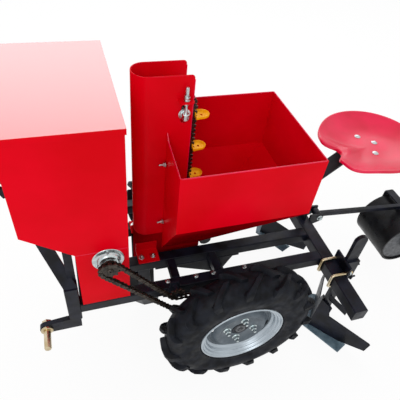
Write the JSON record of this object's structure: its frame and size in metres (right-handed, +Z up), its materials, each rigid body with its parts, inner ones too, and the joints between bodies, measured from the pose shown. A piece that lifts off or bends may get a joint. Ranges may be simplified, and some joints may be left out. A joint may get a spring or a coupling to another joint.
{
  "type": "potato planter",
  "caption": "Single-row potato planter for a small tractor: cup chain in a red tower, seed and fertiliser hoppers, lugged wheels, ridgers, seat and press roller.",
  "frame": {"origin": "on the floor, under the middle of the machine's length and width", "axes": "+X forward towards the tractor, +Y to the machine's left, +Z up"},
  "size_m": [1.709, 0.906, 1.07],
  "materials": {
    "red_paint": "gloss",
    "black_paint": "satin",
    "tyre_rubber": "matte",
    "rim_silver": "satin",
    "zinc_steel": "satin",
    "chain_steel": "satin",
    "yellow_plastic": "satin",
    "roller_black": "gloss",
    "share_paint": "satin"
  },
  "bodies": {
    "frame": {"outer_rails": "black_paint", "inner_rails": "black_paint", "front_crossbar": "black_paint", "rear_toolbar": "black_paint", "cross_bars": "black_paint", "axle_hangers": "black_paint", "idler_bracket": "black_paint", "hitch_legs": "black_paint", "hitch_mast": "black_paint", "lower_link_pins": "zinc_steel", "seat_arm": "black_paint", "seat_pan": "red_paint", "roller_bracket": "black_paint", "ridger_shank_left": "black_paint", "ridger_shank_right": "black_paint", "ridger_wings_left": "black_paint", "ridger_wings_right": "black_paint", "ridger_shares": "share_paint", "ridger_u_bolts": "zinc_steel", "furrow_opener": "black_paint", "fertiliser_hopper": "red_paint", "lid_hinges": "zinc_steel", "flange_bearings": "zinc_steel", "feed_chain": "chain_steel", "lift_chain": "chain_steel", "elevator_tower": "red_paint", "seed_boot": "red_paint", "tower_feet": "red_paint", "tension_shaft": "zinc_steel", "cup_chain": "chain_steel", "seed_cups": "yellow_plastic", "seed_hopper": "red_paint"},
    "wheel_left": {"tyre_left": "tyre_rubber", "rim_left": "rim_silver", "axle_left": "zinc_steel"},
    "wheel_right": {"tyre_right": "tyre_rubber", "rim_right": "rim_silver", "axle_right": "zinc_steel"},
    "feed_turner": {"feed_shaft": "chain_steel"},
    "idler": {"idler_wheel": "chain_steel"},
    "top_sprocket": {"lift_top_sprocket": "chain_steel"},
    "lift_turner": {"lift_shaft": "chain_steel"},
    "lid": {"fertiliser_lid": "red_paint"},
    "press_arm": {"roller_arm": "black_paint"},
    "press_roll": {"press_roller": "roller_black"}
  },
  "joints": [
    {"name": "wheel_left_spin", "type": "hinge", "parent": "frame", "child": "wheel_left", "pos_m": [0.166, 0.332, 0.277], "axis": [0, 1, 0], "continuous": true},
    {"name": "wheel_right_spin", "type": "hinge", "parent": "frame", "child": "wheel_right", "pos_m": [0.166, -0.332, 0.277], "axis": [0, 1, 0], "continuous": true},
    {"name": "feed_shaft_spin", "type": "hinge", "parent": "frame", "child": "feed_turner", "pos_m": [0.578, 0, 0.607], "axis": [0, 1, 0], "continuous": true},
    {"name": "idler_spin", "type": "hinge", "parent": "frame", "child": "idler", "pos_m": [0.373, 0.259, 0.424], "axis": [0, 1, 0], "continuous": true},
    {"name": "lift_shaft_spin", "type": "hinge", "parent": "frame", "child": "lift_turner", "pos_m": [0.329, 0, 0.45494], "axis": [0, 1, 0], "continuous": true},
    {"name": "top_sprocket_spin", "type": "hinge", "parent": "frame", "child": "top_sprocket", "pos_m": [0.329, 0, 0.955], "axis": [0, 1, 0], "continuous": true},
    {"name": "lid_hinge", "type": "hinge", "parent": "frame", "child": "lid", "pos_m": [0.801, 0, 1.0483], "axis": [0, 1, 0], "range_deg": [0, 100]},
    {"name": "press_arm_lift", "type": "hinge", "parent": "frame", "child": "press_arm", "pos_m": [-0.28, 0, 0.4], "axis": [0, 1, 0], "range_deg": [0, 25]},
    {"name": "press_roller_spin", "type": "hinge", "parent": "press_arm", "child": "press_roll", "pos_m": [-0.738, 0, 0.211], "axis": [0, 1, 0], "continuous": true}
  ],
  "couplings": [
    {"joint": "feed_shaft_spin", "follows": "wheel_left_spin", "ratio": 4.5455},
    {"joint": "lift_shaft_spin", "follows": "wheel_right_spin", "ratio": 2},
    {"joint": "top_sprocket_spin", "follows": "wheel_right_spin", "ratio": 2},
    {"joint": "idler_spin", "follows": "wheel_left_spin", "ratio": -5.5556}
  ]
}
